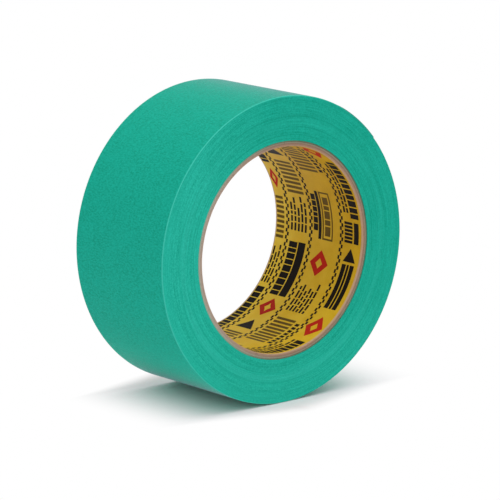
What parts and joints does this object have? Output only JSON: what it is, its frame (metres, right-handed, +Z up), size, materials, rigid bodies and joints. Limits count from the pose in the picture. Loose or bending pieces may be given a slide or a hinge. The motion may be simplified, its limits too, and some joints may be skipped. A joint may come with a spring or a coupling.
{
  "type": "masking tape roll",
  "caption": "Roll of creped masking tape wound on a paper core with a printed liner, whose free end lifts and peels off the roll.",
  "frame": {"origin": "on the axis of the core's bore, halfway along the tape's width", "axes": "+Y along the bore from the front face to the rear face, +Z up with the roll standing on its rim, +X to the right seen from the front"},
  "size_m": [0.1128, 0.05, 0.1129],
  "materials": {
    "creped_tape": "creped paper, sea green, a soft low sheen",
    "liner_paper": "smooth paper printed mustard yellow with black and red marks",
    "core_board": "grey-brown core board, cut edge"
  },
  "bodies": {
    "roll": {"core_liner": "liner_paper", "core_ply_1": "core_board", "core_ply_2": "core_board", "core_ply_3": "core_board", "core_ply_4": "core_board", "wound_tape": "creped_tape"},
    "lead": {"tape_end": "creped_tape"}
  },
  "joints": [
    {"name": "tape_end_peel", "type": "hinge", "parent": "roll", "child": "lead", "pos_m": [0.02806, 0, 0.04915], "axis": [0, -1, 0], "range_deg": [0, 150]}
  ]
}
